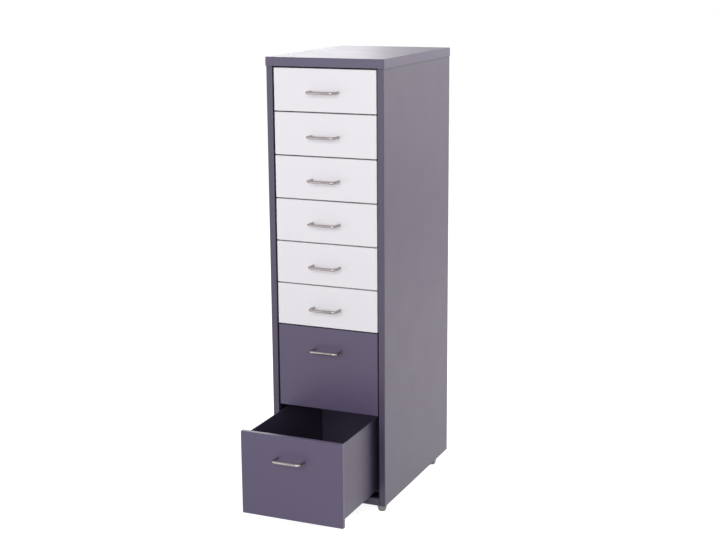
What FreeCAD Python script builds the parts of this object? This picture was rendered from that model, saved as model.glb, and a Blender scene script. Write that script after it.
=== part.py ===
"""Tall steel drawer cabinet: folded carcass, eight sliding drawers, bow handles, moulded feet.

Lengths are millimetres. X runs to the right, Y to the back, Z up. The floor is Z = 0 and the
origin is the middle of the footprint with the lowest drawer standing open.
"""
import FreeCAD, Part
import os

import Sketcher

NODE_FOLDER = "parts"
os.makedirs(NODE_FOLDER, exist_ok=True)

doc = FreeCAD.newDocument("drawer_cabinet")
dims = doc.addObject("Spreadsheet::Sheet", "dims")

# Driving dimensions, each one a cell of the sheet.
DIMENSIONS = {
    "cabinet_width": 280.0,
    "cabinet_depth": 410.0,
    "drawer_pitch": 96.0,
    "cap_lip": 19.5,
    "base_rail": 17.0,
    "foot_height": 14.0,
    "gauge": 0.8,
    "cap_clearance": 0.7,
    "bend_radius": 1.5,
    "cap_radius": 2.0,
    "stile_width": 14.5,
    "stile_return": 10.0,
    "rear_flange": 15.0,
    "side_gap": 3.0,
    "front_gap": 2.5,
    "top_gap": 3.5,
    "front_setback": 1.5,
    "front_depth": 10.0,
    "front_radius": 1.2,
    "nest_clearance": 0.2,
    "tray_depth": 395.0,
    "tray_inset": 9.0,
    "tray_lift": 10.5,
    "tray_drop": 7.5,
    "hem_height": 8.0,
    "slide_clearance": 0.2,
    "runner_height": 16.0,
    "runner_ledge": 37.0,
    "runner_keeper": 12.0,
    "runner_front_gap": 0.3,
    "runner_rear_gap": 8.0,
    "drawer_travel": 275.0,
    "rest_travel": 194.0,
    "stop_clearance": 0.5,
    "lug_reach": 19.5,
    "lug_foot": 4.0,
    "lug_gauge": 1.5,
    "lug_flange": 15.0,
    "weld_gap": 0.05,
    "handle_pitch": 64.0,
    "handle_reach": 30.0,
    "handle_wire": 6.0,
    "handle_bend": 7.0,
    "handle_drop": 50.0,
    "handle_bore": 2.0,
    "handle_bore_depth": 10.0,
    "screw_hole": 2.1,
    "screw_shank": 1.8,
    "screw_head": 3.6,
    "screw_head_height": 2.2,
    "handle_screw_grip": 8.0,
    "panel_screw_grip": 5.0,
    "panel_screw_inset": 8.0,
    "panel_screw_margin": 60.0,
    "cap_screw_offset": 80.0,
    "base_lip": 14.0,
    "base_hem": 8.0,
    "foot_top": 22.0,
    "foot_bottom": 17.0,
    "foot_chamfer": 1.0,
    "foot_shoulder": 3.0,
    "foot_bore": 4.4,
    "foot_bore_depth": 6.0,
    "foot_inset": 12.0,
    "foot_rear_inset": 75.0,
}

# Height of each drawer in pitches, from the top drawer down.
DRAWER_UNITS = (1, 1, 1, 1, 1, 1, 2, 2)
DRAWER_RESTS_OPEN = (False, False, False, False, False, False, False, True)
BACK_SCREWS_PER_SIDE = 5


class Size:
    """A length that keeps its number together with the sheet expression that gives it."""

    def __init__(self, text, value):
        self.text = text
        self.value = value

    @staticmethod
    def of(item):
        """Take a plain number or a Size and give a Size."""
        if isinstance(item, Size):
            return item
        return Size(repr(float(item)), float(item))

    def __add__(self, other):
        other = Size.of(other)
        return Size(f"({self.text} + {other.text})", self.value + other.value)

    def __sub__(self, other):
        other = Size.of(other)
        return Size(f"({self.text} - {other.text})", self.value - other.value)

    def __mul__(self, factor):
        factor = Size.of(factor)
        return Size(f"({self.text} * {factor.text})", self.value * factor.value)

    def __truediv__(self, divisor):
        divisor = Size.of(divisor)
        return Size(f"({self.text} / {divisor.text})", self.value / divisor.value)

    def __neg__(self):
        return Size(f"(0 - {self.text})", -self.value)


def fill_sheet():
    """Write every driving dimension to its own cell and give the sizes by name."""
    sizes = {}
    for row, (alias, value) in enumerate(DIMENSIONS.items(), start=1):
        dims.set(f"A{row}", alias)
        dims.set(f"B{row}", str(value))
        dims.setAlias(f"B{row}", alias)
        sizes[alias] = Size(f"dims.{alias}", value)
    doc.recompute()
    return sizes


D = fill_sheet()
ZERO = Size.of(0)

GAUGE = D["gauge"]
SKIN = GAUGE + D["cap_clearance"]
BODY_WIDTH = D["cabinet_width"] - SKIN * 2
BODY_DEPTH = D["cabinet_depth"] - SKIN * 2
UNITS_TALL = sum(DRAWER_UNITS)
OPENING_HEIGHT = D["drawer_pitch"] * UNITS_TALL + D["top_gap"]
BODY_HEIGHT = OPENING_HEIGHT + D["base_rail"] + D["cap_lip"]
TOP_Z = D["foot_height"] + BODY_HEIGHT
FLOOR_TOP_Z = D["foot_height"] + GAUGE
PANEL_HEIGHT = BODY_HEIGHT - GAUGE * 2

# The footprint runs from the open drawer's handle to the back of the cap.
CAP_FRONT_Y = -(D["cabinet_depth"] + SKIN + D["front_setback"] - D["rest_travel"] - D["handle_reach"]) / 2
CAP_BACK_Y = CAP_FRONT_Y + D["cabinet_depth"]
BODY_FRONT_Y = CAP_FRONT_Y + SKIN
BODY_BACK_Y = BODY_FRONT_Y + BODY_DEPTH
FACE_Y = BODY_FRONT_Y + D["front_setback"]
TRAY_Y = FACE_Y + GAUGE

FRONT_WIDTH = BODY_WIDTH - (D["stile_width"] + D["side_gap"]) * 2
TRAY_WIDTH = FRONT_WIDTH - D["tray_inset"] * 2
TRAY_END_WIDTH = TRAY_WIDTH - (GAUGE * 2 + D["weld_gap"]) * 2
RUNNER_FRONT_Y = FACE_Y + D["front_depth"] + D["runner_front_gap"]
RUNNER_LENGTH = BODY_BACK_Y - GAUGE * 2 - D["runner_rear_gap"] - RUNNER_FRONT_Y


def new_body(label, x, y, z):
    """Start a body at a bound place and give it the node's name."""
    body = doc.addObject("PartDesign::Body", label)
    body.Label = label
    for axis, place in (("x", x), ("y", y), ("z", z)):
        place = Size.of(place)
        setattr(body.Placement.Base, axis, place.value)
        body.setExpression(f"Placement.Base.{axis}", place.text)
    return body


def new_sketch(body, name, plane, offset=ZERO):
    """Open a sketch on one of the body's own planes, moved along its normal."""
    sketch = body.newObject("Sketcher::SketchObject", name)
    support = [item for item in body.Origin.OriginFeatures if item.Role == plane][0]
    sketch.AttachmentSupport = [(support, "")]
    sketch.MapMode = "FlatFace"
    offset = Size.of(offset)
    sketch.AttachmentOffset.Base.z = offset.value
    sketch.setExpression("AttachmentOffset.Base.z", offset.text)
    return sketch


def pin(sketch, geometry, vertex, x, y):
    """Hold one point of the sketch at bound distances from the sketch origin."""
    for kind, distance in (("DistanceX", x), ("DistanceY", y)):
        distance = Size.of(distance)
        index = sketch.addConstraint(Sketcher.Constraint(kind, -1, 1, geometry, vertex, distance.value))
        sketch.setExpression(f"Constraints[{index}]", distance.text)


def add_outline(sketch, points):
    """Draw a closed outline through bound points."""
    points = [(Size.of(x), Size.of(y)) for x, y in points]
    first = sketch.GeometryCount
    count = len(points)
    for index, (x, y) in enumerate(points):
        next_x, next_y = points[(index + 1) % count]
        start = FreeCAD.Vector(x.value, y.value, 0)
        end = FreeCAD.Vector(next_x.value, next_y.value, 0)
        sketch.addGeometry(Part.LineSegment(start, end), False)
    for index in range(count):
        following = first + (index + 1) % count
        sketch.addConstraint(Sketcher.Constraint("Coincident", first + index, 2, following, 1))
    for index, (x, y) in enumerate(points):
        pin(sketch, first + index, 1, x, y)


def add_rectangle(sketch, left, right, low, high):
    """Draw a bound rectangle."""
    add_outline(sketch, ((left, low), (right, low), (right, high), (left, high)))


def add_circle(sketch, x, y, radius):
    """Draw a bound circle."""
    x, y, radius = Size.of(x), Size.of(y), Size.of(radius)
    centre = FreeCAD.Vector(x.value, y.value, 0)
    index = sketch.addGeometry(Part.Circle(centre, FreeCAD.Vector(0, 0, 1), radius.value), False)
    pin(sketch, index, 3, x, y)
    bound = sketch.addConstraint(Sketcher.Constraint("Radius", index, radius.value))
    sketch.setExpression(f"Constraints[{bound}]", radius.text)


def extrude(body, kind, name, sketch, length, backwards=False, both_ways=False):
    """Pad or pocket a sketch by a bound length."""
    feature = body.newObject(f"PartDesign::{kind}", name)
    feature.Profile = sketch
    length = Size.of(length)
    feature.Length = length.value
    feature.setExpression("Length", length.text)
    feature.Reversed = backwards
    if both_ways:
        feature.SideType = "Symmetric"
    body.Tip = feature
    doc.recompute()
    return feature


def round_edges(body, name, radius, wanted):
    """Fillet the edges of the body's tip that pass the test."""
    base = body.Tip
    names = [f"Edge{i}" for i, edge in enumerate(base.Shape.Edges, start=1) if wanted(edge)]
    fillet = body.newObject("PartDesign::Fillet", name)
    fillet.Base = (base, names)
    fillet.Radius = radius.value
    fillet.setExpression("Radius", radius.text)
    body.Tip = fillet
    doc.recompute()
    return fillet


def edge_at(**wanted):
    """Test whether both ends of an edge lie at the given coordinates."""
    def test(edge):
        ends = [vertex.Point for vertex in edge.Vertexes]
        return all(
            abs(getattr(end, axis) - place) < 0.01 for end in ends for axis, place in wanted.items()
        )
    return test


def back_screw_heights():
    """Heights of the back panel's screws above the panel's lower edge."""
    margin = D["panel_screw_margin"]
    step = (PANEL_HEIGHT - margin * 2) / (BACK_SCREWS_PER_SIDE - 1)
    return [margin + step * index for index in range(BACK_SCREWS_PER_SIDE)]


def build_top_panel():
    """Cap with a lip folded down on all four sides."""
    half_width = D["cabinet_width"] / 2
    body = new_body("top_panel", 0, CAP_FRONT_Y, TOP_Z - D["cap_lip"])
    block = new_sketch(body, "top_panel_outline", "XY_Plane")
    add_rectangle(block, -half_width, half_width, 0, D["cabinet_depth"])
    extrude(body, "Pad", "top_panel_block", block, D["cap_lip"])
    top = D["cap_lip"].value
    corner_x, far_y = half_width.value, D["cabinet_depth"].value

    def outer(edge):
        on_top = edge_at(z=top)(edge)
        upright = any(edge_at(x=x, y=y)(edge) for x in (-corner_x, corner_x) for y in (0, far_y))
        return on_top or upright

    round_edges(body, "top_panel_bends", D["cap_radius"], outer)
    hollow = new_sketch(body, "top_panel_inside", "XY_Plane")
    inner = half_width - GAUGE
    add_rectangle(hollow, -inner, inner, GAUGE, D["cabinet_depth"] - GAUGE)
    extrude(body, "Pocket", "top_panel_hollow", hollow, D["cap_lip"] - GAUGE, backwards=True)
    holes = new_sketch(body, "top_panel_screw_spots", "XZ_Plane", -D["cabinet_depth"])
    for side in (-1, 1):
        add_circle(holes, D["cap_screw_offset"] * side, D["cap_lip"] / 2, D["screw_hole"])
    extrude(body, "Pocket", "top_panel_screw_holes", holes, GAUGE * 4, both_ways=True)
    return body


def build_base_panel():
    """Floor pan with a front rail, upturned side and rear lips and four foot holes."""
    half_width = BODY_WIDTH / 2
    body = new_body("base_panel", 0, BODY_FRONT_Y, D["foot_height"])
    floor = new_sketch(body, "base_floor_outline", "XY_Plane")
    add_rectangle(floor, -half_width, half_width, 0, BODY_DEPTH)
    extrude(body, "Pad", "base_floor", floor, GAUGE)
    rail = new_sketch(body, "base_rail_section", "YZ_Plane")
    top, hem = D["base_rail"], D["base_hem"]
    add_outline(rail, (
        (0, 0), (GAUGE, 0), (GAUGE, top - GAUGE), (hem, top - GAUGE), (hem, top), (0, top),
    ))
    rail_width = BODY_WIDTH - (D["stile_width"] + D["nest_clearance"]) * 2
    extrude(body, "Pad", "base_rail_fold", rail, rail_width, both_ways=True)
    lips = new_sketch(body, "base_lip_outline", "XY_Plane")
    outer = half_width - GAUGE - D["cap_clearance"]
    near = D["stile_return"] + D["front_depth"]
    far = BODY_DEPTH - GAUGE * 2 - D["cap_clearance"]
    add_outline(lips, (
        (-outer, near), (-outer, far), (outer, far), (outer, near), (outer - GAUGE, near),
        (outer - GAUGE, far - GAUGE), (GAUGE - outer, far - GAUGE), (GAUGE - outer, near),
    ))
    extrude(body, "Pad", "base_lips", lips, D["base_lip"])
    round_edges(body, "base_rail_bend", D["bend_radius"] / 2, lambda edge: (
        edge_at(y=0, z=D["base_rail"].value)(edge)
    ))
    holes = new_sketch(body, "base_foot_spots", "XY_Plane")
    for x, y in foot_spots():
        add_circle(holes, x, y - BODY_FRONT_Y, D["screw_hole"])
    extrude(body, "Pocket", "base_foot_holes", holes, GAUGE, backwards=True)
    return body


def foot_spots():
    """Centres of the four feet: front left, front right, rear left, rear right."""
    reach = BODY_WIDTH / 2 - D["foot_inset"]
    front = BODY_FRONT_Y + D["foot_inset"]
    rear = BODY_BACK_Y - D["foot_rear_inset"]
    return ((-reach, front), (reach, front), (-reach, rear), (reach, rear))


def build_side_panel(label, side):
    """Folded side: outer web, front stile with its return, rear flange for the back panel."""
    stile, depth = D["stile_width"], BODY_DEPTH - GAUGE
    body = new_body(label, BODY_WIDTH / 2 * side, BODY_FRONT_Y, FLOOR_TOP_Z)
    plan = new_sketch(body, f"{label}_plan", "XY_Plane")
    profile = (
        (ZERO, ZERO), (stile, ZERO), (stile, D["stile_return"]), (stile - GAUGE, D["stile_return"]),
        (stile - GAUGE, GAUGE), (GAUGE, GAUGE), (GAUGE, depth - GAUGE),
        (D["rear_flange"], depth - GAUGE), (D["rear_flange"], depth), (ZERO, depth),
    )
    add_outline(plan, [(x * -side, y) for x, y in profile])
    extrude(body, "Pad", f"{label}_fold", plan, PANEL_HEIGHT)
    bends = ((0, 0), (stile.value * -side, 0), (0, depth.value))
    round_edges(body, f"{label}_bends", D["bend_radius"], lambda edge: (
        any(edge_at(x=x, y=y)(edge) for x, y in bends)
    ))
    holes = new_sketch(body, f"{label}_screw_spots", "XZ_Plane", -depth)
    for height in back_screw_heights():
        add_circle(holes, D["panel_screw_inset"] * -side, height, D["screw_hole"])
    extrude(body, "Pocket", f"{label}_screw_holes", holes, GAUGE * 4, both_ways=True)
    return body


def build_back_panel():
    """Flat sheet screwed to the rear flanges, with two more holes under the cap's rear lip."""
    half_width = BODY_WIDTH / 2
    body = new_body("back_panel", 0, BODY_BACK_Y - GAUGE, FLOOR_TOP_Z)
    face = new_sketch(body, "back_panel_outline", "XZ_Plane")
    add_rectangle(face, -half_width, half_width, 0, PANEL_HEIGHT)
    extrude(body, "Pad", "back_panel_sheet", face, GAUGE, backwards=True)
    holes = new_sketch(body, "back_panel_screw_spots", "XZ_Plane")
    for side in (-1, 1):
        for height in back_screw_heights():
            add_circle(holes, (half_width - D["panel_screw_inset"]) * side, height, D["screw_hole"])
        lip_height = PANEL_HEIGHT + GAUGE - D["cap_lip"] / 2
        add_circle(holes, D["cap_screw_offset"] * side, lip_height, D["screw_hole"])
    extrude(body, "Pocket", "back_panel_screw_holes", holes, GAUGE * 4, both_ways=True)
    return body


def build_foot(label, x, y):
    """Tapered moulded glide with a countersunk bore for its screw."""
    body = new_body(label, x, y, 0)
    section = new_sketch(body, f"{label}_section", "XZ_Plane")
    height, bore = D["foot_height"], D["foot_bore"]
    hole, chamfer = D["screw_hole"], D["foot_chamfer"]
    low, wide = D["foot_bottom"] / 2, D["foot_top"] / 2
    add_outline(section, (
        (bore, 0), (low - chamfer, 0), (low, chamfer),
        (wide, height - D["foot_shoulder"]), (wide, height), (hole, height),
        (hole, D["foot_bore_depth"]), (bore, D["foot_bore_depth"]),
    ))
    turned = body.newObject("PartDesign::Revolution", f"{label}_turned")
    turned.Profile = section
    turned.ReferenceAxis = (section, ["V_Axis"])
    turned.Angle = 360
    body.Tip = turned
    doc.recompute()
    return body


def slot_top(number):
    """Height of the top edge of one drawer front."""
    above = sum(DRAWER_UNITS[: number - 1])
    return TOP_Z - D["cap_lip"] - D["top_gap"] - D["drawer_pitch"] * above


def front_height(number):
    """Height of one drawer front."""
    return D["drawer_pitch"] * DRAWER_UNITS[number - 1] - D["front_gap"]


def tray_floor(number):
    """Height of the underside of one tray."""
    return slot_top(number) - front_height(number) + D["tray_lift"]


def opening_of(number):
    """How far one drawer stands open."""
    return D["rest_travel"] if DRAWER_RESTS_OPEN[number - 1] else ZERO


def build_runner(label, number, side):
    """Channel with a wide ledge under the tray and a short keeper over the tray's stop lug."""
    ledge_top = tray_floor(number) - D["slide_clearance"]
    wall = BODY_WIDTH / 2 - GAUGE
    body = new_body(label, wall * side, RUNNER_FRONT_Y, ledge_top - GAUGE)
    section = new_sketch(body, f"{label}_section", "XZ_Plane")
    height, ledge, keeper = D["runner_height"], D["runner_ledge"], D["runner_keeper"]
    profile = (
        (ZERO, ZERO), (ledge, ZERO), (ledge, GAUGE), (GAUGE, GAUGE), (GAUGE, height - GAUGE),
        (keeper, height - GAUGE), (keeper, height), (ZERO, height),
    )
    add_outline(section, [(x * -side, z) for x, z in profile])
    extrude(body, "Pad", f"{label}_fold", section, RUNNER_LENGTH, backwards=True)
    return body


def build_front(label, number):
    """Drawer front folded back on all four edges, with two handle holes."""
    height, half_width = front_height(number), FRONT_WIDTH / 2
    body = new_body(label, 0, FACE_Y - opening_of(number), slot_top(number) - height)
    face = new_sketch(body, f"{label}_outline", "XZ_Plane")
    add_rectangle(face, -half_width, half_width, 0, height)
    extrude(body, "Pad", f"{label}_block", face, D["front_depth"], backwards=True)
    corners = [(x, z) for x in (-half_width.value, half_width.value) for z in (0, height.value)]
    round_edges(body, f"{label}_bends", D["front_radius"], lambda edge: (
        edge_at(y=0)(edge) or any(edge_at(x=x, z=z)(edge) for x, z in corners)
    ))
    hollow = new_sketch(body, f"{label}_inside", "XZ_Plane", -D["front_depth"])
    add_rectangle(hollow, GAUGE - half_width, half_width - GAUGE, GAUGE, height - GAUGE)
    extrude(body, "Pocket", f"{label}_hollow", hollow, D["front_depth"] - GAUGE, backwards=True)
    holes = new_sketch(body, f"{label}_handle_spots", "XZ_Plane")
    for side in (-1, 1):
        add_circle(holes, D["handle_pitch"] / 2 * side, height - D["handle_drop"], D["screw_hole"])
    extrude(body, "Pocket", f"{label}_handle_holes", holes, GAUGE * 4, both_ways=True)
    return body


def tray_height(number):
    """Height of one tray from its underside to its rim."""
    return front_height(number) - D["tray_lift"] - D["tray_drop"]


def tray_sheet(label, number, plane, outline, length, both_ways=False):
    """Pad one sheet of a tray from its outline, in the tray's own frame."""
    body = new_body(label, 0, TRAY_Y - opening_of(number), tray_floor(number))
    sketch = new_sketch(body, f"{label}_outline", plane)
    add_outline(sketch, outline)
    extrude(body, "Pad", f"{label}_sheet", sketch, length, backwards=not both_ways, both_ways=both_ways)
    return body


def build_tray_floor(label, number):
    """Bottom sheet, the full size of the tray."""
    half, depth = TRAY_WIDTH / 2, D["tray_depth"]
    body = new_body(label, 0, TRAY_Y - opening_of(number), tray_floor(number))
    plan = new_sketch(body, f"{label}_outline", "XY_Plane")
    add_rectangle(plan, -half, half, 0, depth)
    extrude(body, "Pad", f"{label}_sheet", plan, GAUGE)
    return body


def build_tray_side(label, number, side):
    """Side sheet that stands on the bottom, its rim folded inwards to a hem."""
    outer, top, foot = TRAY_WIDTH / 2, tray_height(number), GAUGE + D["weld_gap"]
    wall, hem, under = outer - GAUGE, outer - GAUGE * 2, tray_height(number) - D["hem_height"]
    profile = ((outer, foot), (outer, top), (hem, top), (hem, under), (wall, under), (wall, foot))
    outline = [(x * side, z) for x, z in profile]
    return tray_sheet(label, number, "XZ_Plane", outline, D["tray_depth"])


def build_tray_front(label, number):
    """Front sheet between the sides, drilled for the handle screws."""
    foot, top = GAUGE + D["weld_gap"], tray_height(number)
    outline = ((ZERO, foot), (GAUGE, foot), (GAUGE, top), (ZERO, top))
    body = tray_sheet(label, number, "YZ_Plane", outline, TRAY_END_WIDTH, both_ways=True)
    holes = new_sketch(body, f"{label}_handle_spots", "XZ_Plane")
    for side in (-1, 1):
        spot = top + D["tray_drop"] - D["handle_drop"]
        add_circle(holes, D["handle_pitch"] / 2 * side, spot, D["screw_hole"])
    extrude(body, "Pocket", f"{label}_handle_holes", holes, GAUGE * 4, both_ways=True)
    return body


def build_tray_back(label, number):
    """Back sheet between the sides, its rim folded inwards to a hem."""
    outer, top, foot = D["tray_depth"], tray_height(number), GAUGE + D["weld_gap"]
    wall, hem, under = outer - GAUGE, outer - GAUGE * 2, tray_height(number) - D["hem_height"]
    outline = ((outer, foot), (outer, top), (hem, top), (hem, under), (wall, under), (wall, foot))
    return tray_sheet(label, number, "YZ_Plane", outline, TRAY_END_WIDTH, both_ways=True)


def build_tray(label, number):
    """Tray welded from five sheets, with a stop bracket on each side."""
    members = [
        build_tray_floor(f"{label}_floor", number), build_tray_front(f"{label}_front", number),
        build_tray_back(f"{label}_back", number),
    ]
    for name, side in (("left", -1), ("right", 1)):
        members.append(build_tray_side(f"{label}_side_{name}", number, side))
        members.append(build_stop(f"{label}_stop_{name}", number, side))
    return gather(label, members)


def build_stop(label, number, side):
    """Angle bracket welded to the tray: it runs under the keeper and meets the stile return at full travel."""
    meets = BODY_FRONT_Y + D["stile_return"] + D["stop_clearance"] + D["drawer_travel"]
    wall = TRAY_WIDTH / 2 + D["weld_gap"]
    body = new_body(label, wall * side, meets - opening_of(number), tray_floor(number) + D["lug_foot"])
    plan = new_sketch(body, f"{label}_plan", "XY_Plane")
    reach, gauge, flange = D["lug_reach"], D["lug_gauge"], D["lug_flange"]
    profile = ((ZERO, ZERO), (reach, ZERO), (reach, gauge), (gauge, gauge), (gauge, flange), (ZERO, flange))
    add_outline(plan, [(x * side, y) for x, y in profile])
    keeper_under = D["runner_height"] - GAUGE * 2 - D["slide_clearance"]
    extrude(body, "Pad", f"{label}_fold", plan, keeper_under - D["stop_clearance"] - D["lug_foot"])
    return body


def handle_height(number):
    """Height of one handle's axis."""
    return slot_top(number) - D["handle_drop"]


def build_handle(label, number):
    """Bow handle bent from round wire, its legs bored for the screws."""
    body = new_body(label, 0, FACE_Y - opening_of(number), handle_height(number))
    half, bend, wire = D["handle_pitch"] / 2, D["handle_bend"], D["handle_wire"] / 2
    axis = -(D["handle_reach"] - wire)
    path = new_sketch(body, f"{label}_path", "XY_Plane")
    turn = axis + bend
    stops = ((-half, ZERO), (-half, turn), (bend - half, axis), (half - bend, axis), (half, turn), (half, ZERO))
    spots = [FreeCAD.Vector(x.value, y.value, 0) for x, y in stops]
    near_left = FreeCAD.Vector((bend - half).value, turn.value, 0)
    near_right = FreeCAD.Vector((half - bend).value, turn.value, 0)
    lean = FreeCAD.Vector(bend.value * 0.5 ** 0.5, -bend.value * 0.5 ** 0.5, 0)
    left_middle = near_left + FreeCAD.Vector(-lean.x, lean.y, 0)
    right_middle = near_right + lean
    path.addGeometry(Part.LineSegment(spots[0], spots[1]), False)
    path.addGeometry(Part.Arc(spots[1], left_middle, spots[2]), False)
    path.addGeometry(Part.LineSegment(spots[2], spots[3]), False)
    path.addGeometry(Part.Arc(spots[3], right_middle, spots[4]), False)
    path.addGeometry(Part.LineSegment(spots[4], spots[5]), False)
    pin(path, 0, 1, *stops[0])
    pin(path, 0, 2, *stops[1])
    pin(path, 2, 1, *stops[2])
    pin(path, 2, 2, *stops[3])
    pin(path, 4, 1, *stops[4])
    pin(path, 4, 2, *stops[5])
    for arc, line_before, line_after in ((1, 0, 2), (3, 2, 4)):
        path.addConstraint(Sketcher.Constraint("Coincident", arc, 1, line_before, 2))
        path.addConstraint(Sketcher.Constraint("Coincident", arc, 2, line_after, 1))
        radius = path.addConstraint(Sketcher.Constraint("Radius", arc, bend.value))
        path.setExpression(f"Constraints[{radius}]", bend.text)
    section = new_sketch(body, f"{label}_section", "XZ_Plane")
    add_circle(section, -half, 0, wire)
    swept = body.newObject("PartDesign::AdditivePipe", f"{label}_bow")
    swept.Profile = section
    swept.Spine = (path, ["Edge1", "Edge2", "Edge3", "Edge4", "Edge5"])
    body.Tip = swept
    doc.recompute()
    bores = new_sketch(body, f"{label}_bore_spots", "XZ_Plane")
    for side in (-1, 1):
        add_circle(bores, half * side, 0, D["handle_bore"])
    extrude(body, "Pocket", f"{label}_bores", bores, D["handle_bore_depth"], backwards=True)
    return body


def place_solid(solid, x, y, z, turn):
    """Bind a primitive's place and give it a fixed turn."""
    solid.Placement.Rotation = turn
    for axis, place in (("x", x), ("y", y), ("z", z)):
        solid.setExpression(f"Placement.Base.{axis}", Size.of(place).text)


def build_screw(label, x, y, z, turn, seat_axis, grip):
    """Pan-head screw whose head sits at the given point and whose shank runs along the turned Z."""
    head = doc.addObject("Part::Cone", f"{label}_head")
    head.setExpression("Radius1", (D["screw_head"] * 0.7).text)
    head.setExpression("Radius2", D["screw_head"].text)
    head.setExpression("Height", D["screw_head_height"].text)
    shank = doc.addObject("Part::Cylinder", f"{label}_shank")
    shank.setExpression("Radius", D["screw_shank"].text)
    shank.setExpression("Height", (D["screw_head_height"] + grip).text)
    step = D["screw_head_height"]
    start = [Size.of(value) - step * lean for value, lean in zip((x, y, z), seat_axis)]
    place_solid(head, *start, turn)
    place_solid(shank, *start, turn)
    screw = doc.addObject("Part::Fuse", label)
    screw.Base = head
    screw.Tool = shank
    return screw


FORWARD = FreeCAD.Rotation(FreeCAD.Vector(1, 0, 0), 90)
UPWARD = FreeCAD.Rotation(FreeCAD.Vector(1, 0, 0), 0)


def gather(label, members):
    """Make one node from several separate solids."""
    group = doc.addObject("Part::Compound", label)
    group.Label = label
    group.Links = members
    doc.recompute()
    return group


def build_handle_screws(label, number):
    """Two screws driven from inside the tray into the handle's legs."""
    seat = TRAY_Y + GAUGE - opening_of(number)
    grip = GAUGE * 2 + D["handle_screw_grip"]
    screws = []
    for name, side in (("left", -1), ("right", 1)):
        x = D["handle_pitch"] / 2 * side
        screws.append(build_screw(
            f"{label}_{name}", x, seat, handle_height(number), FORWARD, (0, -1, 0), grip
        ))
    return gather(label, screws)


def build_panel_screws():
    """Screws of the back panel and of the cap's rear lip."""
    screws = []
    reach = BODY_WIDTH / 2 - D["panel_screw_inset"]
    for name, side in (("left", -1), ("right", 1)):
        for row, height in enumerate(back_screw_heights(), start=1):
            screws.append(build_screw(
                f"back_screw_{name}_{row}", reach * side, BODY_BACK_Y, FLOOR_TOP_Z + height,
                FORWARD, (0, -1, 0), D["panel_screw_grip"],
            ))
        screws.append(build_screw(
            f"cap_screw_{name}", D["cap_screw_offset"] * side, CAP_BACK_Y, TOP_Z - D["cap_lip"] / 2,
            FORWARD, (0, -1, 0), D["panel_screw_grip"],
        ))
    return gather("panel_screws", screws)


def build_foot_screws():
    """Screws that hold the feet to the base, heads up inside the feet."""
    grip = D["foot_height"] - D["foot_bore_depth"] + GAUGE + D["panel_screw_grip"]
    screws = []
    for number, (x, y) in enumerate(foot_spots(), start=1):
        screws.append(build_screw(
            f"foot_screw_{number}", x, y, D["foot_bore_depth"], UPWARD, (0, 0, 1), grip
        ))
    return gather("foot_screws", screws)


def build_carcass():
    """Every fixed node of the cabinet."""
    nodes = [
        build_top_panel(), build_base_panel(), build_side_panel("left_side_panel", -1),
        build_side_panel("right_side_panel", 1), build_back_panel(),
    ]
    for number in range(1, len(DRAWER_UNITS) + 1):
        nodes.append(build_runner(f"runner_left_{number}", number, -1))
        nodes.append(build_runner(f"runner_right_{number}", number, 1))
    names = ("foot_front_left", "foot_front_right", "foot_rear_left", "foot_rear_right")
    for name, (x, y) in zip(names, foot_spots()):
        nodes.append(build_foot(name, x, y))
    nodes.append(build_foot_screws())
    nodes.append(build_panel_screws())
    return nodes


def build_drawer(number):
    """Every node that travels with one drawer."""
    return [
        build_front(f"drawer_{number}_front", number),
        build_tray(f"drawer_{number}_tray", number),
        build_handle(f"drawer_{number}_handle", number),
        build_handle_screws(f"drawer_{number}_handle_screws", number),
    ]


def check_and_write(nodes):
    """Stop on any object in error, then write one file per node."""
    doc.recompute()
    for item in doc.Objects:
        if "Invalid" in item.State or "Error" in item.State:
            raise RuntimeError(f"{item.Label}: {item.State}")
    for node in nodes:
        shape = node.Shape
        if shape.isNull() or not shape.isValid() or not shape.Solids:
            raise RuntimeError(f"{node.Label} has no valid solid")
        shape.exportStep(f"{NODE_FOLDER}/{node.Label}.step")
        box = shape.BoundBox
        print(node.Label, len(shape.Solids), round(shape.Volume, 1), [
            round(value, 2) for value in (box.XMin, box.XMax, box.YMin, box.YMax, box.ZMin, box.ZMax)
        ])


all_nodes = build_carcass()
for drawer_number in range(1, len(DRAWER_UNITS) + 1):
    all_nodes.extend(build_drawer(drawer_number))
check_and_write(all_nodes)
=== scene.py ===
"""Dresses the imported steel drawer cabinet: paint, plated bow handles, screws, studio and camera.

Every length is in metres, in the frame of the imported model.
"""
from __future__ import annotations

import logging
import math
from dataclasses import dataclass, field, replace
from enum import Enum

import bpy
from mathutils import Matrix, Vector


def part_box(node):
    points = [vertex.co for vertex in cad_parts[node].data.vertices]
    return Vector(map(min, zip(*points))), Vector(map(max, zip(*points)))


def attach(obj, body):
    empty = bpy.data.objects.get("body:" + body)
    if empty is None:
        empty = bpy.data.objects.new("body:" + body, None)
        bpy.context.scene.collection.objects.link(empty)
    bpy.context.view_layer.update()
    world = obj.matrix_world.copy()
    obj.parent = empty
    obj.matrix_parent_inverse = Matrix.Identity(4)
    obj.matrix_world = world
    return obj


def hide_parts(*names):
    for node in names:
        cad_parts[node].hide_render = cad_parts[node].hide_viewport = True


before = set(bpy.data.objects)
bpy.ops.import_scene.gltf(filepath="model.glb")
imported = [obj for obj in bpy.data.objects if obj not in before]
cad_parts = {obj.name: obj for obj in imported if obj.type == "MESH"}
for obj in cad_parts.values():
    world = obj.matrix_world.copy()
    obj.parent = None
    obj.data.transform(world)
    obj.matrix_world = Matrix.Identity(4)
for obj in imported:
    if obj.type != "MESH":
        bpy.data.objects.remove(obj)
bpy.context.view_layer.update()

LOG = logging.getLogger("drawer_cabinet")
IMAGE_WIDTH_PX = 716
SAME_WAY_COSINE = 0.99
PURE_WHITE = (1.0, 1.0, 1.0, 1.0)

Colour = tuple[float, float, float]
Point = tuple[float, float, float]


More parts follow.
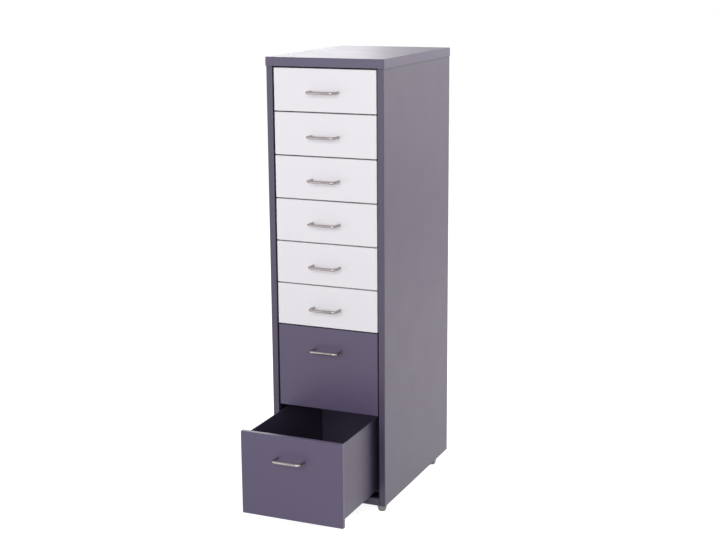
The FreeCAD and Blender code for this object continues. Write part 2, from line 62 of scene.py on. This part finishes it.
class Slot(Enum):
    """Material slots of the record."""

    SLATE = "slate_paint"
    WHITE = "white_paint"
    HANDLE = "handle_metal"
    FOOT = "foot_plastic"
    SCREW = "screw_steel"


class Facing(Enum):
    """Way that a screw's head looks, as the degrees about X that turn it there from looking up."""

    BACK = -90.0
    DOWN = 180.0

    def turn(self) -> Matrix:
        """Rotation that takes a head looking up to this way."""
        return Matrix.Rotation(math.radians(self.value), 4, "X")


def deselect_all() -> None:
    """Leave edit mode and clear the selection."""
    if bpy.context.object and bpy.context.object.mode != "OBJECT":
        bpy.ops.object.mode_set(mode="OBJECT")
    bpy.ops.object.select_all(action="DESELECT")


def make_active(piece: bpy.types.Object) -> None:
    """Select one object alone and make it active.

    Args:
        piece: Object that the next operators act on.
    """
    deselect_all()
    piece.select_set(True)
    bpy.context.view_layer.objects.active = piece


def apply_place(piece: bpy.types.Object) -> None:
    """Move an object's place into its mesh.

    Args:
        piece: Object that ends at the origin, unturned and unscaled.
    """
    make_active(piece)
    bpy.ops.object.transform_apply(location=True, rotation=True, scale=True)


def apply_modifiers(piece: bpy.types.Object) -> None:
    """Apply every modifier of an object in order.

    Args:
        piece: Object whose modifiers become mesh.
    """
    make_active(piece)
    for modifier in list(piece.modifiers):
        bpy.ops.object.modifier_apply(modifier=modifier.name)


def copy_piece(piece: bpy.types.Object, name: str, place: Matrix) -> bpy.types.Object:
    """Copy an object with a mesh of its own.

    Args:
        piece: Finished object at the origin.
        name: Name of the copy.
        place: Where the copy goes.

    Returns:
        The copy, with its place in its mesh.
    """
    twin = piece.copy()
    twin.data = piece.data.copy()
    twin.name = name
    twin.data.name = name
    bpy.context.scene.collection.objects.link(twin)
    twin.data.transform(place)
    twin.data.update()
    return twin


def join_pieces(pieces: list[bpy.types.Object], name: str) -> bpy.types.Object:
    """Join several objects into one.

    Args:
        pieces: Objects to join, the first of which stays.
        name: Name of the result.

    Returns:
        The joined object.
    """
    deselect_all()
    for piece in pieces:
        piece.select_set(True)
    bpy.context.view_layer.objects.active = pieces[0]
    bpy.ops.object.join()
    pieces[0].name = name
    pieces[0].data.name = name
    return pieces[0]


def select_faces(piece: bpy.types.Object, along: Point) -> None:
    """Select the faces that look one way, with edit mode left for a moment.

    Args:
        piece: Object in edit mode.
        along: Direction that the wanted faces look.
    """
    bpy.ops.mesh.select_all(action="DESELECT")
    bpy.ops.object.mode_set(mode="OBJECT")
    for polygon in piece.data.polygons:
        polygon.select = polygon.normal.dot(Vector(along)) >= SAME_WAY_COSINE
    bpy.ops.object.mode_set(mode="EDIT")


@dataclass
class ShaderGroup:
    """Node group that is being wired up, with its two ends and the piece's own coordinates."""

    tree: bpy.types.NodeTree
    entry: bpy.types.Node
    leave: bpy.types.Node
    place: bpy.types.Node

    NOISE_LOW = 0.3
    NOISE_HIGH = 0.7

    @classmethod
    def start(cls, name: str, inputs: dict[str, float], outputs: tuple[str, ...]) -> ShaderGroup:
        """Make an empty group with its sockets.

        Args:
            name: Name of the group.
            inputs: Values that a finish can set, with what they are if it does not.
            outputs: Masks and values that the group gives.

        Returns:
            The group, ready for its nodes.
        """
        tree = bpy.data.node_groups.new(name, "ShaderNodeTree")
        for title, value in inputs.items():
            socket = tree.interface.new_socket(title, in_out="INPUT", socket_type="NodeSocketFloat")
            socket.default_value = value
        for title in outputs:
            tree.interface.new_socket(title, in_out="OUTPUT", socket_type="NodeSocketFloat")
        kinds = ("NodeGroupInput", "NodeGroupOutput", "ShaderNodeTexCoord")
        return cls(tree, *(tree.nodes.new(kind) for kind in kinds))

    def link(self, source: bpy.types.NodeSocket, target: bpy.types.NodeSocket) -> None:
        """Join two sockets."""
        self.tree.links.new(source, target)

    def noise(self, detail: float) -> bpy.types.Node:
        """Add a noise that stays with the piece.

        Args:
            detail: Number of finer layers in it.

        Returns:
            The noise node.
        """
        noise = self.tree.nodes.new("ShaderNodeTexNoise")
        noise.inputs["Detail"].default_value = detail
        self.link(self.place.outputs["Object"], noise.inputs["Vector"])
        return noise

    def stretch(self, noise: bpy.types.Node) -> bpy.types.Node:
        """Spread the middle of a noise over a full range.

        Args:
            noise: Noise node whose values crowd round a half.

        Returns:
            The range node, whose ends are still to be set.
        """
        spread = self.tree.nodes.new("ShaderNodeMapRange")
        spread.inputs["From Min"].default_value = self.NOISE_LOW
        spread.inputs["From Max"].default_value = self.NOISE_HIGH
        self.link(noise.outputs["Fac"], spread.inputs["Value"])
        return spread

    def combine(self, operation: str) -> bpy.types.Node:
        """Add a node that combines two values.

        Args:
            operation: What it does with them.

        Returns:
            The node, with both inputs still free.
        """
        node = self.tree.nodes.new("ShaderNodeMath")
        node.operation = operation
        return node


class NodeGroups:
    """Shader groups that several finishes share, each built once."""

    SKIN = "sprayed_skin"
    RUB = "handled_patches"
    # The seam group's dark band is painted shade under a lip.
    SEAM = "seam_dust"
    RIPPLE_DETAIL = 2.0
    CLOUD_DETAIL = 3.0
    PATCH_DETAIL = 4.0
    PATCH_TWIST = 0.6
    # Noise that makes the painted seam shade uneven along its length.
    SHADE_BAND_DETAIL = 2.0
    SHADE_BAND_SCALE = 25.0
    SHADE_BAND_LEAST = 0.5

    @classmethod
    def skin(cls) -> bpy.types.NodeTree:
        """Fine ripple of a sprayed or moulded skin, with a faint cloud of tone.

        Returns:
            The group, with the outputs Ripple and Cloud.
        """
        if cls.SKIN in bpy.data.node_groups:
            return bpy.data.node_groups[cls.SKIN]
        scales = {"Ripple Scale": 900.0, "Cloud Scale": 6.0}
        group = ShaderGroup.start(cls.SKIN, scales, ("Ripple", "Cloud"))
        for title, detail in (("Ripple", cls.RIPPLE_DETAIL), ("Cloud", cls.CLOUD_DETAIL)):
            noise = group.noise(detail)
            group.link(group.entry.outputs[f"{title} Scale"], noise.inputs["Scale"])
            group.link(noise.outputs["Fac"], group.leave.inputs[title])
        return group.tree

    @classmethod
    def rub(cls) -> bpy.types.NodeTree:
        """Soft patches where hands and cloths have polished the surface.

        Returns:
            The group, with the output Roughness.
        """
        if cls.RUB in bpy.data.node_groups:
            return bpy.data.node_groups[cls.RUB]
        group = ShaderGroup.start(cls.RUB, {"Patch Scale": 14.0, "Low": 0.3, "High": 0.45}, ("Roughness",))
        patches = group.noise(cls.PATCH_DETAIL)
        patches.inputs["Distortion"].default_value = cls.PATCH_TWIST
        group.link(group.entry.outputs["Patch Scale"], patches.inputs["Scale"])
        spread = group.stretch(patches)
        group.link(group.entry.outputs["Low"], spread.inputs["To Min"])
        group.link(group.entry.outputs["High"], spread.inputs["To Max"])
        group.link(spread.outputs["Result"], group.leave.inputs["Roughness"])
        return group.tree

    @classmethod
    def seam(cls) -> bpy.types.NodeTree:
        """Uneven dark line of painted shade just under an overhanging lip, where the lip's shadow falls.

        Returns:
            The group, with the output Mask.
        """
        if cls.SEAM in bpy.data.node_groups:
            return bpy.data.node_groups[cls.SEAM]
        group = ShaderGroup.start(cls.SEAM, {"Bottom": 0.990, "Lip": 0.994, "Strength": 0.6}, ("Mask",))
        split = group.tree.nodes.new("ShaderNodeSeparateXYZ")
        group.link(group.place.outputs["Object"], split.inputs["Vector"])
        rise = group.tree.nodes.new("ShaderNodeMapRange")
        group.link(split.outputs["Z"], rise.inputs["Value"])
        group.link(group.entry.outputs["Bottom"], rise.inputs["From Min"])
        group.link(group.entry.outputs["Lip"], rise.inputs["From Max"])
        group.link(group.entry.outputs["Strength"], rise.inputs["To Max"])
        under = group.combine("LESS_THAN")
        group.link(split.outputs["Z"], under.inputs[0])
        group.link(group.entry.outputs["Lip"], under.inputs[1])
        band = group.combine("MULTIPLY")
        group.link(rise.outputs["Result"], band.inputs[0])
        group.link(under.outputs["Value"], band.inputs[1])
        uneven = group.noise(cls.SHADE_BAND_DETAIL)
        uneven.inputs["Scale"].default_value = cls.SHADE_BAND_SCALE
        spread = group.stretch(uneven)
        spread.inputs["To Min"].default_value = cls.SHADE_BAND_LEAST
        patchy_band = group.combine("MULTIPLY")
        group.link(band.outputs["Value"], patchy_band.inputs[0])
        group.link(spread.outputs["Result"], patchy_band.inputs[1])
        group.link(patchy_band.outputs["Value"], group.leave.inputs["Mask"])
        return group.tree


@dataclass(frozen=True)
class Finish:
    """One surface finish and the numbers that give its look."""

    name: str
    colour: Colour
    shade: Colour
    roughness: tuple[float, float]
    metallic: float = 0.0
    ripple_scale: float = 900.0
    ripple_depth: float = 0.00002
    ripple_strength: float = 0.25
    cloud_scale: float = 6.0
    patch_scale: float = 14.0
    seam_lip: float = 0.0
    seam_reach: float = 0.006
    seam_strength: float = 1.0
    # Colour of the painted shade under the cap's lip.
    seam_shade_colour: Colour = (0.012, 0.010, 0.016)

    def build(self) -> bpy.types.Material:
        """Make the material, or give it if it is already there.

        Returns:
            The node material of this finish.
        """
        if self.name in bpy.data.materials:
            return bpy.data.materials[self.name]
        material = bpy.data.materials.new(self.name)
        material.use_nodes = True
        tree = material.node_tree
        shader = tree.nodes["Principled BSDF"]
        shader.inputs["Metallic"].default_value = self.metallic
        skin = self._add_group(
            tree, NodeGroups.skin(), {"Ripple Scale": self.ripple_scale, "Cloud Scale": self.cloud_scale},
        )
        low, high = self.roughness
        rub = self._add_group(
            tree, NodeGroups.rub(), {"Patch Scale": self.patch_scale, "Low": low, "High": high},
        )
        tone = self._tone(tree, skin.outputs["Cloud"])
        # Painted shade: a dark band under the cap's lip stands in for the shadow that the lip casts.
        if self.seam_lip:
            tone = self._paint_seam_shade(tree, tone)
        tree.links.new(tone, shader.inputs["Base Color"])
        tree.links.new(rub.outputs["Roughness"], shader.inputs["Roughness"])
        bump = tree.nodes.new("ShaderNodeBump")
        bump.inputs["Strength"].default_value = self.ripple_strength
        bump.inputs["Distance"].default_value = self.ripple_depth
        tree.links.new(skin.outputs["Ripple"], bump.inputs["Height"])
        tree.links.new(bump.outputs["Normal"], shader.inputs["Normal"])
        return material

    @staticmethod
    def _add_group(
        tree: bpy.types.NodeTree, group: bpy.types.NodeTree, values: dict[str, float],
    ) -> bpy.types.Node:
        """Put a shared group into the material with this finish's values.

        Args:
            tree: Nodes of the material.
            group: Shared group.
            values: What its inputs are set to.

        Returns:
            The group's node.
        """
        node = tree.nodes.new("ShaderNodeGroup")
        node.node_tree = group
        for title, value in values.items():
            node.inputs[title].default_value = value
        return node

    def _tone(self, tree: bpy.types.NodeTree, cloud: bpy.types.NodeSocket) -> bpy.types.NodeSocket:
        """Let the colour drift between its two tones.

        Args:
            tree: Nodes of the material.
            cloud: Mask that the colour follows.

        Returns:
            The colour's socket.
        """
        tone = tree.nodes.new("ShaderNodeMix")
        tone.data_type = "RGBA"
        tone.inputs["A"].default_value = (*self.shade, 1.0)
        tone.inputs["B"].default_value = (*self.colour, 1.0)
        tree.links.new(cloud, tone.inputs["Factor"])
        return tone.outputs["Result"]

    def _paint_seam_shade(self, tree: bpy.types.NodeTree, clean: bpy.types.NodeSocket) -> bpy.types.NodeSocket:
        """Darken the colour along the seam under the cap's lip with painted shade, which stands in for the
        lip's shadow.

        Args:
            tree: Nodes of the material.
            clean: Colour without the seam.

        Returns:
            The darkened colour's socket.
        """
        seam = self._add_group(tree, NodeGroups.seam(), {
            "Bottom": self.seam_lip - self.seam_reach, "Lip": self.seam_lip, "Strength": self.seam_strength,
        })
        shade_mix = tree.nodes.new("ShaderNodeMix")
        shade_mix.data_type = "RGBA"
        shade_mix.inputs["B"].default_value = (*self.seam_shade_colour, 1.0)
        tree.links.new(seam.outputs["Mask"], shade_mix.inputs["Factor"])
        tree.links.new(clean, shade_mix.inputs["A"])
        return shade_mix.outputs["Result"]


FINISHES: dict[Slot, Finish] = {
    # The slate finish paints shade under the cap's lip.
    Slot.SLATE: Finish(
        "slate_powder_coat", colour=(0.090, 0.070, 0.131), shade=(0.086, 0.067, 0.126),
        roughness=(0.38, 0.41), seam_lip=0.9945,
    ),
    Slot.WHITE: Finish(
        "white_powder_coat", colour=(0.800, 0.780, 0.820), shade=(0.790, 0.770, 0.810),
        roughness=(0.35, 0.39),
    ),
    Slot.HANDLE: Finish(
        "satin_nickel", colour=(0.372, 0.334, 0.332), shade=(0.310, 0.278, 0.276), roughness=(0.07, 0.13),
        metallic=1.0, ripple_scale=2600.0, ripple_depth=0.00001, ripple_strength=0.2,
        cloud_scale=40.0, patch_scale=60.0,
    ),
    Slot.FOOT: Finish(
        "moulded_foot", colour=(0.310, 0.312, 0.308), shade=(0.260, 0.262, 0.258), roughness=(0.40, 0.52),
        ripple_scale=1500.0, cloud_scale=60.0, patch_scale=80.0,
    ),
    Slot.SCREW: Finish(
        "zinc_screw", colour=(0.6, 0.6, 0.61), shade=(0.5, 0.5, 0.52), roughness=(0.28, 0.42),
        metallic=1.0, ripple_scale=3000.0, ripple_depth=0.00001, cloud_scale=120.0, patch_scale=160.0,
    ),
}

# Painted shade: the sides, the base and the slate trays take a darker copy of the same slate paint, so that
# they read darker than the slate fronts.
SHADED_SLATE_COAT = replace(
    FINISHES[Slot.SLATE], name="slate_painted_shade_coat",
    colour=(0.067, 0.0525, 0.096), shade=(0.0635, 0.050, 0.0915),
)


def dress(piece: bpy.types.Object, finish: Finish) -> None:
    """Give an object one finish and nothing else.

    Args:
        piece: CAD node or new piece.
        finish: Finish that it takes.
    """
    material = finish.build()
    if piece.material_slots:
        for place in piece.material_slots:
            place.material = material
    else:
        piece.data.materials.append(material)


@dataclass
class Carcass:
    """Fixed sheet panels, runners and feet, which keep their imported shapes."""

    panels: tuple[str, ...] = ("top_panel", "back_panel")
    shaded_panels: tuple[str, ...] = ("left_side_panel", "right_side_panel", "base_panel")
    feet: tuple[str, ...] = ("foot_front_left", "foot_front_right", "foot_rear_left", "foot_rear_right")
    drawers: int = 8

    def dress(self) -> None:
        """Paint the panels and runners, the sides and base with a darker painted-shade copy of the slate,
        and give the feet their plastic.
        """
        slate = FINISHES[Slot.SLATE]
        for name in self.panels:
            dress(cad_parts[name], slate)
        # These panels take the darker copy of the slate paint, as painted shade.
        for name in self.shaded_panels:
            dress(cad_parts[name], SHADED_SLATE_COAT)
        for number in range(1, self.drawers + 1):
            for side in ("left", "right"):
                dress(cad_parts[f"runner_{side}_{number}"], slate)
        for name in self.feet:
            dress(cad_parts[name], FINISHES[Slot.FOOT])
        panel_count = len(self.panels) + len(self.shaded_panels)
        LOG.info("carcass dressed: %d panels, %d feet", panel_count, len(self.feet))


@dataclass
class BowHandle:
    """Bow handle bent from round wire, modelled once and copied to every drawer."""

    pitch: float = 0.064
    reach: float = 0.0299
    wire: float = 0.006
    bend: float = 0.007
    sides: int = 20
    bend_steps: int = 8
    end_bevel: float = 0.0004
    end_bevel_steps: int = 2
    weld_distance: float = 0.000001
    smooth_degrees: float = 40.0
    pattern: bpy.types.Object | None = field(default=None, repr=False)

    def build(self) -> bpy.types.Object:
        """Sweep the wire by extruding and spinning its end, from the left leg to the right one.

        Returns:
            The handle at the origin, its legs ending on the XZ plane.
        """
        half = self.pitch / 2
        leg = self.reach - self.wire / 2 - self.bend
        deselect_all()
        bpy.ops.mesh.primitive_circle_add(
            vertices=self.sides, radius=self.wire / 2, fill_type="NGON",
            location=(-half, 0, 0), rotation=(math.radians(90), 0, 0),
        )
        wire = bpy.context.object
        wire.name = "bow_handle_pattern"
        apply_place(wire)
        bpy.ops.object.mode_set(mode="EDIT")
        bpy.ops.mesh.select_all(action="SELECT")
        self._push((0, -leg, 0))
        self._turn((-half + self.bend, -leg, 0))
        self._push((self.pitch - 2 * self.bend, 0, 0))
        self._turn((half - self.bend, -leg, 0))
        self._push((0, leg, 0))
        bpy.ops.mesh.select_all(action="SELECT")
        bpy.ops.mesh.remove_doubles(threshold=self.weld_distance)
        bpy.ops.mesh.normals_make_consistent(inside=False)
        select_faces(wire, (0, 1, 0))
        bpy.ops.mesh.bevel(offset=self.end_bevel, segments=self.end_bevel_steps, affect="EDGES")
        bpy.ops.object.mode_set(mode="OBJECT")
        bpy.ops.object.shade_smooth_by_angle(angle=math.radians(self.smooth_degrees))
        self.pattern = wire
        return wire

    @staticmethod
    def _push(step: Point) -> None:
        """Extrude the selected end straight along a step."""
        bpy.ops.mesh.extrude_region_move(TRANSFORM_OT_translate={"value": step})

    def _turn(self, centre: Point) -> None:
        """Spin the selected end a quarter turn about an upright axis."""
        bpy.ops.mesh.spin(
            steps=self.bend_steps, angle=math.radians(90), center=centre, axis=(0, 0, -1), dupli=False,
        )

    def fit(self, number: int) -> None:
        """Put a copy on one drawer in place of its packed handle.

        Args:
            number: Drawer number from the top.
        """
        node = f"drawer_{number}_handle"
        low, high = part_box(node)
        place = Matrix.Translation(((low.x + high.x) / 2, high.y, (low.z + high.z) / 2))
        piece = copy_piece(self.pattern, f"drawer_{number}_bow", place)
        dress(piece, FINISHES[Slot.HANDLE])
        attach(piece, f"drawer_{number}")
        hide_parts(node)
        LOG.info("handle %d fitted", number)


@dataclass
class PanScrew:
    """Pan-head screw with a cross recess, modelled once with its head looking up."""

    head: float = 0.0036
    head_height: float = 0.0022
    shank: float = 0.0018
    recess_arm: float = 0.0019
    recess_width: float = 0.0008
    recess_depth: float = 0.0013
    recess_taper: float = 0.6
    crown: float = 0.6
    crown_steps: int = 4
    tip: float = 0.001
    tip_taper: float = 0.45
    sides: int = 24
    smooth_degrees: float = 35.0

    def build(self, grip: float, name: str) -> bpy.types.Object:
        """Turn up the head, cut its recess and draw out the shank.

        Args:
            grip: Length of the shank under the head.
            name: Name of the pattern.

        Returns:
            The screw with its seat at the origin.
        """
        deselect_all()
        bpy.ops.mesh.primitive_cylinder_add(
            vertices=self.sides, radius=self.head, depth=self.head_height,
            location=(0, 0, self.head_height / 2),
        )
        screw = bpy.context.object
        screw.name = name
        apply_place(screw)
        bpy.ops.object.mode_set(mode="EDIT")
        select_faces(screw, (0, 0, 1))
        bpy.ops.mesh.bevel(offset=self.head_height * self.crown, segments=self.crown_steps, affect="EDGES")
        select_faces(screw, (0, 0, -1))
        bpy.ops.mesh.inset(thickness=self.head - self.shank)
        bpy.ops.mesh.extrude_region_move(TRANSFORM_OT_translate={"value": (0, 0, -grip + self.tip)})
        bpy.ops.mesh.extrude_region_move(TRANSFORM_OT_translate={"value": (0, 0, -self.tip)})
        taper = (self.tip_taper, self.tip_taper, 1.0)
        bpy.ops.transform.resize(value=taper, center_override=(0, 0, -grip))
        bpy.ops.object.mode_set(mode="OBJECT")
        cutter = self._cross()
        cut = screw.modifiers.new("recess", "BOOLEAN")
        cut.operation = "DIFFERENCE"
        cut.solver = "EXACT"
        cut.object = cutter
        apply_modifiers(screw)
        bpy.data.objects.remove(cutter)
        make_active(screw)
        bpy.ops.object.shade_smooth_by_angle(angle=math.radians(self.smooth_degrees))
        return screw

    def _cross(self) -> bpy.types.Object:
        """Cross two tapering blades.

        Returns:
            The blades as one object, which cuts the recess.
        """
        blades = []
        for turn in (0, 90):
            deselect_all()
            bpy.ops.mesh.primitive_cube_add(
                size=1, location=(0, 0, self.head_height), rotation=(0, 0, math.radians(turn)),
            )
            blade = bpy.context.object
            blade.scale = (self.recess_arm * 2, self.recess_width, self.recess_depth * 2)
            apply_place(blade)
            bpy.ops.object.mode_set(mode="EDIT")
            select_faces(blade, (0, 0, -1))
            taper = (self.recess_taper, self.recess_taper, 1.0)
            bpy.ops.transform.resize(value=taper, center_override=(0, 0, 0))
            bpy.ops.object.mode_set(mode="OBJECT")
            blades.append(blade)
        union = blades[0].modifiers.new("union", "BOOLEAN")
        union.operation = "UNION"
        union.solver = "EXACT"
        union.object = blades[1]
        apply_modifiers(blades[0])
        bpy.data.objects.remove(blades[1])
        return blades[0]


@dataclass
class ScrewSets:
    """Every screw of the cabinet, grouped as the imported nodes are."""

    screw: PanScrew = field(default_factory=PanScrew)
    handle_grip: float = 0.0096
    panel_grip: float = 0.005
    foot_grip: float = 0.0138
    handle_pitch: float = 0.064
    panel_reach: float = 0.1305
    panel_margin: float = 0.060
    panel_rows: int = 5
    panel_foot: float = 0.0148
    panel_height: float = 0.9984
    cap_reach: float = 0.080
    cap_height: float = 1.00425
    foot_seat: float = 0.006

    def build(self, drawers: int) -> None:
        """Model three patterns and place every screw.

        Args:
            drawers: Number of drawers, each with two handle screws.
        """
        pattern = self.screw.build(self.handle_grip, "handle_screw_pattern")
        for number in range(1, drawers + 1):
            node = f"drawer_{number}_handle_screws"
            low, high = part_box(node)
            seat = high.y - self.screw.head_height
            spots = [(side * self.handle_pitch / 2, seat, (low.z + high.z) / 2) for side in (-1, 1)]
            self._set(pattern, spots, Facing.BACK, node, f"drawer_{number}")
        bpy.data.objects.remove(pattern)
        pattern = self.screw.build(self.panel_grip, "panel_screw_pattern")
        self._set(pattern, self._panel_spots(), Facing.BACK, "panel_screws", "carcass")
        bpy.data.objects.remove(pattern)
        pattern = self.screw.build(self.foot_grip, "foot_screw_pattern")
        self._set(pattern, self._foot_spots(), Facing.DOWN, "foot_screws", "carcass")
        bpy.data.objects.remove(pattern)

    def _panel_spots(self) -> list[Point]:
        """Find the seats of the back panel's screws and of the two in the cap's rear lip.

        Returns:
            The seats, up one side and then the other.
        """
        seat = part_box("back_panel")[1].y
        step = (self.panel_height - 2 * self.panel_margin) / (self.panel_rows - 1)
        spots = []
        for side in (-1, 1):
            for row in range(self.panel_rows):
                height = self.panel_foot + self.panel_margin + row * step
                spots.append((side * self.panel_reach, seat, height))
            spots.append((side * self.cap_reach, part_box("top_panel")[1].y, self.cap_height))
        return spots

    def _foot_spots(self) -> list[Point]:
        """Find the seats of the foot screws, up inside the feet.

        Returns:
            One seat for each foot.
        """
        spots = []
        for name in Carcass().feet:
            low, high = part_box(name)
            spots.append(((low.x + high.x) / 2, (low.y + high.y) / 2, self.foot_seat))
        return spots

    @staticmethod
    def _set(pattern: bpy.types.Object, spots: list[Point], facing: Facing, node: str, body: str) -> None:
        """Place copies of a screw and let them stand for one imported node.

        Args:
            pattern: Screw with its seat at the origin.
            spots: Seats of the copies.
            facing: Way that the heads look.
            node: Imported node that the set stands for.
            body: Body that the set rides on.
        """
        copies = []
        for index, spot in enumerate(spots, start=1):
            place = Matrix.Translation(spot) @ facing.turn()
            copies.append(copy_piece(pattern, f"{node}_{index}", place))
        piece = join_pieces(copies, f"{node}_set")
        dress(piece, FINISHES[Slot.SCREW])
        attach(piece, body)
        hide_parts(node)
        LOG.info("%s: %d screws set", node, len(spots))


@dataclass
class DrawerStack:
    """Fronts and trays of the eight drawers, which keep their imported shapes."""

    white: tuple[int, ...] = (1, 2, 3, 4, 5, 6)
    slate: tuple[int, ...] = (7, 8)

    def dress(self) -> None:
        """Paint each front and its tray, the slate trays with the carcass sides' darker copy of the slate
        paint, which is painted shade.
        """
        white, slate = FINISHES[Slot.WHITE], FINISHES[Slot.SLATE]
        for numbers, front, tray in ((self.white, white, white), (self.slate, slate, SHADED_SLATE_COAT)):
            for number in numbers:
                dress(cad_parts[f"drawer_{number}_front"], front)
                dress(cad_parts[f"drawer_{number}_tray"], tray)
        LOG.info("drawers dressed: %d", len(self.white) + len(self.slate))


@dataclass
class Lamp:
    """Soft rectangular lamp aimed at a point."""

    name: str
    place: Point
    aim: Point
    width: float
    height: float
    watts: float
    tint: Colour = (1.0, 1.0, 1.0)

    def build(self) -> bpy.types.Object:
        """Add the lamp, hidden from the camera.

        Returns:
            The lamp object.
        """
        data = bpy.data.lights.new(self.name, "AREA")
        data.shape = "RECTANGLE"
        data.size, data.size_y = self.width, self.height
        data.energy = self.watts
        data.color = self.tint
        lamp = bpy.data.objects.new(self.name, data)
        bpy.context.scene.collection.objects.link(lamp)
        lamp.location = self.place
        lamp.rotation_euler = (Vector(self.aim) - Vector(self.place)).to_track_quat("-Z", "Y").to_euler()
        lamp.visible_camera = False
        return lamp


@dataclass
class Studio:
    """Pale floor, white surroundings, soft lamps and the camera."""

    floor_size: float = 14.0
    floor_tone: float = 0.48
    floor_roughness: float = 0.9
    floor_lift: float = 0.90
    world_fill: float = 0.25
    lamps: tuple[Lamp, ...] = (
        Lamp(
            "key_lamp", place=(-2.3, -2.3, 0.6), aim=(0.0, -0.1, 0.6), width=2.6, height=1.2, watts=14.0,
        ),
        Lamp(
            "fill_lamp", place=(0.3, -3.2, 1.5), aim=(0.0, 0.0, 0.5), width=2.6, height=1.6, watts=71.0,
        ),
        Lamp(
            "side_lamp", place=(2.1, 1.5, 1.7), aim=(0.1, 0.1, 0.6), width=1.2, height=1.2, watts=65.0,
            tint=(1.0, 0.955, 0.90),
        ),
        Lamp(
            "rim_lamp", place=(1.7, 3.0, 1.0), aim=(0.1, 0.1, 0.7), width=1.8, height=1.6, watts=5.0,
        ),
        Lamp(
            "sheen_lamp", place=(-2.1, 2.78, 1.9), aim=(0.0, 0.1, 1.0), width=2.0, height=1.4, watts=25.0,
        ),
    )
    camera_place: Point = (1.255, -2.7935, 1.222)
    camera_azimuth: float = 23.58
    camera_drop: float = 12.73
    camera_roll: float = -0.45
    focal_px: float = 1382.0
    sensor_mm: float = 36.0

    def build(self) -> None:
        """Set up everything round the object."""
        self._world()
        self._floor()
        for lamp in self.lamps:
            lamp.build()
        self._camera()
        bpy.context.scene.view_settings.view_transform = "Standard"

    def _world(self) -> None:
        """White surroundings for the camera and reflections, a plain fill for the rest."""
        world = bpy.data.worlds.new("white_studio")
        bpy.context.scene.world = world
        world.use_nodes = True
        tree = world.node_tree
        ground = tree.nodes["Background"]
        ground.inputs["Color"].default_value = PURE_WHITE
        strength = tree.nodes.new("ShaderNodeMapRange")
        strength.inputs["To Min"].default_value = self.world_fill
        strength.inputs["To Max"].default_value = 1.0
        tree.links.new(self._seen(tree), strength.inputs["Value"])
        tree.links.new(strength.outputs["Result"], ground.inputs["Strength"])

    @staticmethod
    def _seen(tree: bpy.types.NodeTree) -> bpy.types.NodeSocket:
        """Tell rays that the camera sees, straight or in a reflection, from those that carry light.

        Args:
            tree: Nodes of the world or of a stage material.

        Returns:
            A socket that is one for seen rays and nothing for the rest.
        """
        path = tree.nodes.new("ShaderNodeLightPath")
        seen = path.outputs["Is Camera Ray"]
        for title in ("Is Glossy Ray", "Is Transmission Ray"):
            either = tree.nodes.new("ShaderNodeMath")
            either.operation = "MAXIMUM"
            tree.links.new(seen, either.inputs[0])
            tree.links.new(path.outputs[title], either.inputs[1])
            seen = either.outputs["Value"]
        return seen

    def _floor(self) -> None:
        """Pale floor that meets the white surroundings and keeps a faint shadow."""
        deselect_all()
        bpy.ops.mesh.primitive_plane_add(size=self.floor_size, location=(0, 0, 0))
        floor = bpy.context.object
        floor.name = "studio_floor"
        material = bpy.data.materials.new("studio_floor")
        material.use_nodes = True
        tree = material.node_tree
        shader = tree.nodes["Principled BSDF"]
        shader.inputs["Base Color"].default_value = (self.floor_tone, self.floor_tone, self.floor_tone, 1.0)
        shader.inputs["Roughness"].default_value = self.floor_roughness
        shader.inputs["Specular IOR Level"].default_value = 0.0
        shader.inputs["Emission Color"].default_value = PURE_WHITE
        lift = tree.nodes.new("ShaderNodeMath")
        lift.operation = "MULTIPLY"
        lift.inputs[1].default_value = self.floor_lift
        tree.links.new(self._seen(tree), lift.inputs[0])
        tree.links.new(lift.outputs["Value"], shader.inputs["Emission Strength"])
        floor.data.materials.append(material)

    def _camera(self) -> None:
        """Camera at the photograph's viewing angle."""
        azimuth, drop = math.radians(self.camera_azimuth), math.radians(self.camera_drop)
        ahead = Vector((
            -math.sin(azimuth) * math.cos(drop), math.cos(azimuth) * math.cos(drop), -math.sin(drop),
        ))
        data = bpy.data.cameras.new("photo_camera")
        data.sensor_width = self.sensor_mm
        data.lens = self.focal_px / IMAGE_WIDTH_PX * data.sensor_width
        camera = bpy.data.objects.new("photo_camera", data)
        bpy.context.scene.collection.objects.link(camera)
        roll = Matrix.Rotation(math.radians(self.camera_roll), 4, "Z")
        turn = ahead.to_track_quat("-Z", "Y").to_matrix().to_4x4() @ roll
        camera.matrix_world = Matrix.Translation(self.camera_place) @ turn
        bpy.context.scene.camera = camera


def main() -> None:
    """Build the classes in order and report each piece."""
    logging.basicConfig(level=logging.INFO, format="%(name)s: %(message)s")
    carcass = Carcass()
    carcass.dress()
    drawers = DrawerStack()
    drawers.dress()
    handle = BowHandle()
    handle.build()
    for number in range(1, carcass.drawers + 1):
        handle.fit(number)
    bpy.data.objects.remove(handle.pattern)
    ScrewSets().build(carcass.drawers)
    Studio().build()


if __name__ == "__main__":
    main()
